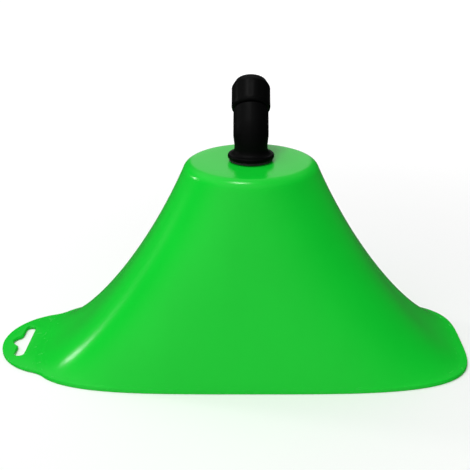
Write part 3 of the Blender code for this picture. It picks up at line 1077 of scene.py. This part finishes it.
@dataclass
class Elbow:
    """The black elbow: a threaded stem, a flange on the hood's top, a bend and a spigot for the nut."""

    flow_radius: float = 0.0033
    stem_root: float = 0.0060
    thread_height: float = 0.0007
    collar_radius: float = 0.0066
    stem_end: float = 0.0760
    threads_end: float = 0.0966
    pocket_radius: float = 0.0047
    pocket_depth: float = 0.0145
    flange_radius: float = 0.0111
    flange_low: float = 0.1012
    flange_thickness: float = 0.0020
    flange_rounding: float = 0.0009
    neck_radius: float = 0.0079
    neck_fillet: float = 0.0036
    tube_radius: float = 0.0084
    corner_height: float = 0.1121
    bend_radius: float = 0.0110
    lean: float = math.radians(45.0)
    tube_length: float = 0.0135
    spigot_radius: float = 0.0057
    spigot_length: float = 0.0078
    groove_from: float = 0.0046
    groove_width: float = 0.0016
    groove_depth: float = 0.0010
    seam_height: float = 0.00007
    sides: int = 96

    def run(self, along_lean: float) -> float:
        """Gives the length along the bent axis, from z = 0, to a place beyond the bend.

        Args:
            along_lean: distance from the crossing of the two axes, along the leaning one.

        Returns:
            The length.
        """
        tangent = self.bend_radius * tan(self.lean / 2)
        return self.corner_height - 2 * tangent + self.bend_radius * self.lean + along_lean

    def build(self, finish: BlackNylon) -> None:
        """Turns the elbow straight, cuts its thread, bends it and dresses it.

        Args:
            finish: the elbow's plastic.
        """
        flange_high = self.flange_low + self.flange_thickness
        tangent = self.bend_radius * tan(self.lean / 2)
        shoulder = self.run(self.tube_length)
        groove_low = shoulder + self.groove_from
        groove_high = groove_low + self.groove_width
        end = shoulder + self.spigot_length
        groove_radius = self.spigot_radius - self.groove_depth
        pocket_end = self.stem_end + self.pocket_depth
        corners = [
            (self.pocket_radius, self.stem_end, SOFT_EDGE),
            (self.stem_root, self.stem_end, 0.0005),
            (self.stem_root, self.threads_end, 0.0001),
            (self.collar_radius, self.threads_end + 0.0003, 0.0001),
            (self.collar_radius, self.flange_low, SOFT_EDGE),
            (self.flange_radius, self.flange_low, 0.0005),
            (self.flange_radius, flange_high, self.flange_rounding),
            (self.neck_radius, flange_high, self.neck_fillet - self.flange_rounding),
            (self.neck_radius, self.corner_height - tangent, 0.0060),
            (self.tube_radius, self.run(0.0), 0.0060),
            (self.tube_radius, shoulder, 0.0008),
            (self.spigot_radius, shoulder, 0.0004),
            (self.spigot_radius, groove_low, 0.0001),
            (groove_radius, groove_low, CRISP_EDGE),
            (groove_radius, groove_high, CRISP_EDGE),
            (self.spigot_radius, groove_high, 0.0001),
            (self.spigot_radius, end, 0.0005),
            (self.flow_radius, end, 0.0004),
            (self.flow_radius, pocket_end, SOFT_EDGE),
            (self.pocket_radius, pocket_end, SOFT_EDGE),
        ]
        bm = lathe(outline(corners, longest=THREAD_FINENESS), self.sides)
        thread = Thread(ThreadSide.STEM, self.stem_root, self.thread_height, self.stem_end, self.threads_end)
        thread.press(bm)
        self.raise_seam(bm, flange_high)
        bend(bm, self.corner_height - tangent, self.bend_radius, self.lean)
        elbow = Maker.raw("elbow_moulding", bm, Matrix.Translation((STEM_AXIS.x, 0.0, 0.0)))
        Maker.deliver(elbow, "elbow_body", "elbow", "fitting_black", finish.make())

    def raise_seam(self, bm: bmesh.types.BMesh, low: float) -> None:
        """Raises the mould's parting line along the tube, in the plane of its bend.

        Args:
            bm: the straight elbow.
            low: where the line begins.
        """
        high = self.run(self.tube_length) - self.seam_height
        for vert in bm.verts:
            radius = vert.co.xy.length
            outside = radius > self.neck_radius - MERGE and low + self.neck_fillet < vert.co.z < high
            if outside and abs(vert.co.x) < MERGE:
                vert.co.y *= 1 + self.seam_height / radius


def leaning_place() -> Matrix:
    """Gives the coupling nut's own axes: +Z along the lance, from the crossing of the elbow's two axes."""
    joint = next(joint for joint in frame["joints"] if joint["name"] == "coupling_spin")
    direction = Vector(joint["axis"])
    if direction.z < 0.0:
        direction.negate()
    crossing = Vector((STEM_AXIS.x, 0.0, Elbow.corner_height))
    return Matrix.Translation(crossing) @ direction.to_track_quat("Z", "Y").to_matrix().to_4x4()


@dataclass
class Coupling:
    """The nut that screws on to the lance, the split ring that keeps it and the washer that seals it."""

    low: float = 0.0138
    length: float = 0.0150
    radius: float = 0.0094
    bore: float = 0.0072
    collar_bore: float = 0.0060
    collar_length: float = 0.0040
    nose_length: float = 0.0034
    nose_inset: float = 0.0018
    grips: int = 12
    grip_depth: float = 0.00012
    grips_from: float = 0.0015
    thread_height: float = 0.0004
    thread_pitch: float = 0.0012
    sides: int = 144
    ring_low: float = 0.0184
    ring_high: float = 0.0194
    ring_bore: float = 0.0050
    ring_radius: float = 0.0067
    ring_split: float = 0.0016
    seal_low: float = 0.0216
    seal_thickness: float = 0.0015
    seal_bore: float = 0.0033
    seal_radius: float = 0.0057

    def build_nut(self, place: Matrix, finish: BlackNylon) -> None:
        """Turns the nut, with its rounded nose, its thread and its shallow grips.

        Args:
            place: the nut's axes.
            finish: its plastic.
        """
        high = self.low + self.length
        collar = self.low + self.collar_length
        corners = [
            (self.collar_bore, self.low, SOFT_EDGE),
            (self.radius - 0.0003, self.low, 0.0010),
            (self.radius, self.low + 0.0020, 0.0060),
            (self.radius, high - self.nose_length, 0.0030),
            (self.radius - self.nose_inset, high, 0.0004),
            (self.bore, high, SOFT_EDGE),
            (self.bore, collar, CRISP_EDGE),
            (self.collar_bore, collar, SOFT_EDGE),
        ]
        bm = lathe(outline(corners, longest=self.thread_pitch / 6), self.sides)
        threads_low = self.seal_low + self.seal_thickness
        thread = Thread(ThreadSide.BORE, self.bore, self.thread_height, threads_low, high, self.thread_pitch)
        thread.press(bm)
        grips_low = self.low + self.grips_from
        Flutes(self.radius, self.grips, self.grip_depth, grips_low, high - self.nose_length).press(bm)
        nut = Maker.raw("lance_nut", bm, place)
        Maker.deliver(nut, "coupling_nut", "coupling", "fitting_black", finish.make())

    def build_ring(self, place: Matrix, finish: PaleNylon) -> None:
        """Turns the split ring and cuts its gap.

        Args:
            place: the nut's axes.
            finish: the ring's plastic.
        """
        corners = [
            (self.ring_bore, self.ring_low, CRISP_EDGE),
            (self.ring_radius, self.ring_low, SOFT_EDGE),
            (self.ring_radius, self.ring_high, SOFT_EDGE),
            (self.ring_bore, self.ring_high, CRISP_EDGE),
        ]
        ring = Maker.raw("split_ring", lathe(outline(corners, 4)), place)
        reach = 2 * self.ring_radius
        gap = block((self.ring_split, reach, reach), (0.0, -reach / 2, self.ring_low))
        Maker.combine(ring, Maker.raw("split_cutter", gap, place), "DIFFERENCE")
        Maker.deliver(ring, "nut_retainer", "elbow", "clip_nylon", finish.make())

    def build_seal(self, place: Matrix, finish: SealRubber) -> None:
        """Turns the seal at the spigot's end.

        Args:
            place: the nut's axes.
            finish: its rubber.
        """
        seal = Washer("lance_washer", self.seal_bore, self.seal_radius, self.seal_low, self.seal_thickness)
        Maker.deliver(seal.turn(place), "lance_seal", "elbow", "seal_rubber", finish.make())


@dataclass(frozen=True)
class Washer:
    """A flat ring with rounded edges."""

    name: str
    bore: float
    radius: float
    low: float
    thickness: float
    rounding: float = SOFT_EDGE

    def turn(self, place: Matrix) -> bpy.types.Object:
        """Turns the ring.

        Args:
            place: its axes.

        Returns:
            The ring's object.
        """
        high = self.low + self.thickness
        corners = [
            (self.bore, self.low, self.rounding),
            (self.radius, self.low, self.rounding),
            (self.radius, high, self.rounding),
            (self.bore, high, self.rounding),
        ]
        return Maker.raw(self.name, lathe(outline(corners, 4)), place)


# The clamp under the hood's top


@dataclass
class Clamp:
    """The gasket on the hood's top, and the washer and hexagon nut that pull the elbow down on it."""

    gasket_low: float = 0.0999
    washer_low: float = 0.0967
    thickness: float = 0.0010
    bore: float = 0.0069
    gasket_radius: float = 0.0104
    washer_radius: float = 0.0110
    washer_edge: float = 0.00015
    nut_low: float = 0.0919
    nut_height: float = 0.0045
    nut_across_flats: float = 0.0190
    nut_corner_rounding: float = 0.0005
    thread_height: float = 0.0007
    chamfer: float = math.radians(30.0)

    def build(self, place: Matrix, rubber: SealRubber, steel: TurnedSteel, plastic: BlackNylon) -> None:
        """Makes the three pieces.

        Args:
            place: the stem's axis.
            rubber: the gasket's finish.
            steel: the washer's finish.
            plastic: the nut's finish.
        """
        gasket = Washer("top_gasket", self.bore, self.gasket_radius, self.gasket_low, self.thickness)
        Maker.deliver(gasket.turn(place), "hood_gasket", "elbow", "seal_rubber", rubber.make())
        edge = self.washer_edge
        washer = Washer("steel_washer", self.bore, self.washer_radius, self.washer_low, self.thickness, edge)
        Maker.deliver(washer.turn(place), "clamp_washer", "clamp_ring", "steel", steel.make())
        Maker.deliver(self.nut(place), "clamp_nut", "clamp", "fitting_black", plastic.make())

    def nut(self, place: Matrix) -> bpy.types.Object:
        """Turns a chamfered, threaded disc and trims it to a hexagon.

        Args:
            place: the stem's axis.

        Returns:
            The nut's object.
        """
        high = self.nut_low + self.nut_height
        apothem = self.nut_across_flats / 2
        corner = apothem / cos(pi / 6)
        drop = (corner - apothem) * tan(self.chamfer)
        flat = apothem - CRISP_EDGE
        corners = [
            (self.bore, self.nut_low, 0.0004),
            (flat, self.nut_low, CRISP_EDGE),
            (corner, self.nut_low + drop, 0.0),
            (corner, high - drop, 0.0),
            (flat, high, CRISP_EDGE),
            (self.bore, high, 0.0004),
        ]
        bm = lathe(outline(corners, longest=THREAD_FINENESS))
        Thread(ThreadSide.BORE, self.bore, self.thread_height, self.nut_low, high).press(bm)
        nut = Maker.raw("hexagon_nut", bm, place)
        prism = bmesh.new()
        bmesh.ops.create_cone(
            prism, segments=6, radius1=corner, radius2=corner, depth=2 * self.nut_height, cap_ends=True
        )
        upright = [edge for edge in prism.edges if abs(edge.verts[0].co.z - edge.verts[1].co.z) > MERGE]
        soften(prism, upright, self.nut_corner_rounding)
        middle = Matrix.Translation((0.0, 0.0, self.nut_low + self.nut_height / 2))
        Maker.combine(nut, Maker.raw("hexagon", prism, place @ middle), "INTERSECT")
        return nut


# The nozzle


@dataclass
class Nozzle:
    """The flat-fan tip, its seal, its strainer and the ribbed cap that holds them on the stem."""

    seat: float = 0.0757
    clamped_radius: float = 0.0062
    strainer_flange: float = 0.0010
    strainer_top: float = 0.0882
    strainer_radius: float = 0.0034
    strainer_bore: float = 0.0020
    windows: int = 4
    window_width: float = 0.0024
    window_rounding: float = 0.0006
    end_ring: float = 0.0017
    mesh_radius: float = 0.0039
    mesh_wire: float = 0.00022
    mesh_pitch: float = 0.00062
    mesh_from_seat: float = 0.0005
    mesh_from_top: float = 0.0003
    seal_low: float = 0.0734
    seal_thickness: float = 0.0010
    tip_high: float = 0.0731
    tip_flange_low: float = 0.0717
    tip_low: float = 0.0671
    tip_radius: float = 0.0040
    tip_bore: float = 0.0016
    nose_radius: float = 0.00288
    mouth_radius: float = 0.0007
    fan_width: float = 0.0010
    fan_depth: float = 0.0013
    cap_low: float = 0.0696
    cap_high: float = 0.0828
    cap_lip: float = 0.0018
    cap_radius: float = 0.0094
    cap_bore: float = 0.0069
    cap_hole: float = 0.0043
    cap_grips: int = 16
    cap_sides: int = 192
    cap_grip_depth: float = 0.0007
    cap_grips_from: float = 0.0018
    thread_height: float = 0.0007
    thread_from_seat: float = 0.0006

    def build_strainer(self, place: Matrix, plastic: PaleNylon, steel: TurnedSteel) -> None:
        """Makes the strainer's cage and the woven mesh round it.

        Args:
            place: the stem's axis.
            plastic: the cage's finish.
            steel: the mesh's finish.
        """
        low = self.seat - self.strainer_flange
        corners = [
            (self.strainer_bore, low, CRISP_EDGE),
            (self.clamped_radius, low, SOFT_EDGE),
            (self.clamped_radius, self.seat, SOFT_EDGE),
            (self.strainer_radius, self.seat, CRISP_EDGE),
            (self.strainer_radius, self.strainer_top, SOFT_EDGE),
            (self.strainer_bore, self.strainer_top, SOFT_EDGE),
        ]
        cage = Maker.raw("strainer_cage", lathe(outline(corners, 3)), place)
        length = self.strainer_top - self.seat - 2 * self.end_ring
        middle = (self.strainer_top + self.seat) / 2
        reach = self.strainer_radius + self.strainer_bore / 4
        for number in range(self.windows):
            window = block((2 * self.strainer_radius, self.window_width, length), (reach, 0.0, middle))
            radial = [edge for edge in window.edges if abs(edge.verts[0].co.x - edge.verts[1].co.x) > MERGE]
            soften(window, radial, self.window_rounding)
            outward = Matrix.Rotation(2 * pi * number / self.windows, 4, "Z")
            Maker.combine(cage, Maker.raw("window", window, place @ outward), "DIFFERENCE")
        Maker.deliver(cage, "strainer_frame", "nozzle", "strainer_nylon", plastic.make())
        Maker.deliver(self.weave(place), "strainer_mesh", "nozzle", "steel", steel.make(), smooth=60.0)

    def weave(self, place: Matrix) -> bpy.types.Object:
        """Makes the mesh's wires from a fine grid rolled into a sleeve.

        Args:
            place: the stem's axis.

        Returns:
            The mesh's object.
        """
        low = self.seat + self.mesh_from_seat
        length = self.strainer_top - self.mesh_from_top - low
        around = round(2 * pi * self.mesh_radius / self.mesh_pitch)
        rows = round(length / self.mesh_pitch)
        line = [(self.mesh_radius, low + length * row / rows) for row in range(rows + 1)]
        bm = lathe(line, around, closed=False)
        bmesh.ops.wireframe(
            bm,
            faces=bm.faces,
            thickness=self.mesh_wire,
            use_replace=True,
            use_even_offset=True,
            use_boundary=True,
        )
        return Maker.raw("woven_mesh", bm, place)

    def build_tip(self, place: Matrix, finish: PaleNylon, rubber: SealRubber) -> None:
        """Makes the tip with its domed nose and fan groove, and the seal above it.

        Args:
            place: the stem's axis.
            finish: the tip's plastic.
            rubber: the seal's rubber.
        """
        seal = Washer("tip_seal", self.strainer_bore, self.clamped_radius, self.seal_low, self.seal_thickness)
        Maker.deliver(seal.turn(place), "nozzle_seal", "nozzle", "seal_rubber", rubber.make())
        corners = [
            (self.mouth_radius, self.tip_low, 0.0001),
            (self.nose_radius, self.tip_low, 0.0009),
            (self.tip_radius, self.tip_low + 0.0018, 0.0012),
            (self.tip_radius, self.tip_flange_low, CRISP_EDGE),
            (self.clamped_radius, self.tip_flange_low, SOFT_EDGE),
            (self.clamped_radius, self.tip_high, SOFT_EDGE),
            (self.tip_bore, self.tip_high, SOFT_EDGE),
            (self.tip_bore, self.tip_low + 0.0022, SOFT_EDGE),
            (self.mouth_radius, self.tip_low + 0.0014, 0.0001),
        ]
        tip = Maker.raw("fan_tip", lathe(outline(corners, 4)), place)
        groove = bmesh.new()
        corner = self.fan_depth * 2**0.5
        narrow = Matrix.Diagonal((1.0, self.fan_width / self.fan_depth, 1.0, 1.0))
        bmesh.ops.create_cone(
            groove,
            segments=4,
            radius1=corner,
            radius2=corner,
            depth=4 * self.tip_radius,
            cap_ends=True,
            matrix=narrow @ Matrix.Rotation(pi / 2, 4, "Y"),
        )
        low = Matrix.Translation((0.0, 0.0, self.tip_low))
        Maker.combine(tip, Maker.raw("fan_groove", groove, place @ low), "DIFFERENCE")
        Maker.deliver(tip, "nozzle_tip", "nozzle", "tip_acetal", finish.make())

    def build_cap(self, place: Matrix, finish: BlackNylon) -> None:
        """Turns the cap, with its thread and its grips.

        Args:
            place: the stem's axis.
            finish: the cap's plastic.
        """
        lip = self.cap_low + self.cap_lip
        corners = [
            (self.cap_hole, self.cap_low, 0.0004),
            (self.cap_radius - 0.0009, self.cap_low, 0.0004),
            (self.cap_radius, self.cap_low + 0.0012, 0.0012),
            (self.cap_radius, self.cap_high, 0.0005),
            (self.cap_bore, self.cap_high, SOFT_EDGE),
            (self.cap_bore, lip, CRISP_EDGE),
            (self.cap_hole, lip, CRISP_EDGE),
        ]
        bm = lathe(outline(corners, longest=THREAD_FINENESS), self.cap_sides)
        threads_low = self.seat + self.thread_from_seat
        Thread(ThreadSide.BORE, self.cap_bore, self.thread_height, threads_low, self.cap_high).press(bm)
        grips_low = self.cap_low + self.cap_grips_from
        Flutes(self.cap_radius, self.cap_grips, self.cap_grip_depth, grips_low, 2 * self.cap_high).press(bm)
        Maker.deliver(Maker.raw("screw_cap", bm, place), "nozzle_cap", "cap", "fitting_black", finish.make())


# The studio


@dataclass(frozen=True)
class Softbox:
    """A soft light that looks at the hood."""

    place: tuple[float, float, float]
    size: float
    power: float
    aim_height: float = 0.05

    def hang(self) -> None:
        """Adds the light."""
        light = bpy.data.lights.new("softbox", "AREA")
        light.shape = "DISK"
        light.size = self.size
        light.energy = self.power
        lamp = bpy.data.objects.new("softbox", light)
        lamp.location = self.place
        aim = Vector((STEM_AXIS.x, 0.0, self.aim_height)) - lamp.location
        lamp.rotation_euler = aim.to_track_quat("-Z", "Y").to_euler()
        bpy.context.scene.collection.objects.link(lamp)


@dataclass(frozen=True)
class Studio:
    """A white floor under soft lights, and the camera in front of the hood."""

    camera_distance: float = 0.3994
    camera_height: float = 0.2233
    camera_dip: float = math.radians(22.31)
    lens: float = 66.8
    sensor_width: float = 36.0
    shift: tuple[float, float] = (-0.034, 0.0064)
    floor_size: float = 4.0
    dim_strength: float = 0.05
    card_strength: float = 0.62
    card_height: tuple[float, float] = (0.72, 0.93)
    card_width: tuple[float, float] = (0.30, 0.10)
    front_strength: float = 0.62
    front_reach: tuple[float, float] = (0.0, -0.9)
    ceiling_strength: float = 0.66
    ceiling_reach: tuple[float, float] = (0.35, 0.80)
    left_bias: float = 0.95
    lights: tuple[Softbox, ...] = (
        Softbox(place=(-0.23, -0.15, 1.27), size=0.35, power=6.0),
        Softbox(place=(-0.90, 0.31, 0.40), size=0.16, power=1.2),
    )

    def build(self) -> None:
        """Sets up the floor, the sky, the lights and the camera."""
        bpy.context.scene.view_settings.view_transform = "Standard"
        self.lay_floor()
        self.light_sky()
        for light in self.lights:
            light.hang()
        self.stand_camera()

    def lay_floor(self) -> None:
        """Adds the floor."""
        bm = bmesh.new()
        bmesh.ops.create_grid(bm, x_segments=8, y_segments=8, size=self.floor_size)
        mesh = bpy.data.meshes.new("floor")
        bm.to_mesh(mesh)
        bm.free()
        mesh.materials.append(PaleFloor().make())
        floor = bpy.data.objects.new("floor", mesh)
        floor.visible_glossy = False
        bpy.context.scene.collection.objects.link(floor)

    def light_sky(self) -> None:
        """Lights the room with a card behind, a front and a ceiling, all plain white to the camera."""
        world = bpy.data.worlds.new("studio")
        world.use_nodes = True
        wiring = Wiring(world.node_tree)
        direction = wiring.node("ShaderNodeTexCoord").outputs["Generated"]
        across, back, up = wiring.axis_parts(direction)
        off_centre = wiring.math("ABSOLUTE", across)
        leftwards = 1.0 - across * self.left_bias
        card = back.ramp(*self.card_height) * off_centre.ramp(*self.card_width) * self.card_strength
        front = back.ramp(*self.front_reach) * leftwards * self.front_strength
        ceiling = up.ramp(*self.ceiling_reach) * leftwards * self.ceiling_strength
        lighting = card + front + ceiling + self.dim_strength
        seen = Number(wiring, wiring.node("ShaderNodeLightPath").outputs["Is Camera Ray"])
        sky = world.node_tree.nodes["Background"]
        wiring.feed(sky.inputs["Color"], as_rgba(WHITE))
        wiring.feed(sky.inputs["Strength"], lighting * (1.0 - seen) + seen)
        bpy.context.scene.world = world

    def stand_camera(self) -> None:
        """Adds the camera."""
        camera = bpy.data.cameras.new("camera")
        camera.lens = self.lens
        camera.sensor_width = self.sensor_width
        camera.shift_x, camera.shift_y = self.shift
        camera.clip_start = 0.01
        tripod = bpy.data.objects.new("camera", camera)
        tripod.location = (STEM_AXIS.x, -self.camera_distance, self.camera_height)
        tripod.rotation_euler = (pi / 2 - self.camera_dip, 0.0, 0.0)
        bpy.context.scene.collection.objects.link(tripod)
        bpy.context.scene.camera = tripod


def main() -> None:
    """Builds the studio and every sub-assembly."""
    logging.basicConfig(level=logging.INFO, format="%(name)s: %(message)s")
    Studio().build()
    black = BlackNylon()
    nut_black = BlackNylon("nut_nylon", roughness=0.38)
    rubber = SealRubber()
    clip = PaleNylon("clip_nylon", (0.78, 0.76, 0.70))
    cage = PaleNylon("cage_nylon", (0.70, 0.68, 0.62))
    acetal = PaleNylon("tip_acetal", (0.85, 0.56, 0.03), roughness=0.32)
    steel = TurnedSteel()
    upright = Matrix.Translation((STEM_AXIS.x, 0.0, 0.0))
    leaning = leaning_place()
    HoodShell().build(HoodPlastic())
    Elbow().build(black)
    coupling = Coupling()
    coupling.build_nut(leaning, nut_black)
    coupling.build_ring(leaning, clip)
    coupling.build_seal(leaning, rubber)
    Clamp().build(upright, rubber, steel, nut_black)
    nozzle = Nozzle()
    nozzle.build_strainer(upright, cage, TurnedSteel("mesh_wire", lines_per_metre=30000.0))
    nozzle.build_tip(upright, acetal, rubber)
    nozzle.build_cap(upright, nut_black)


if __name__ == "__main__":
    main()
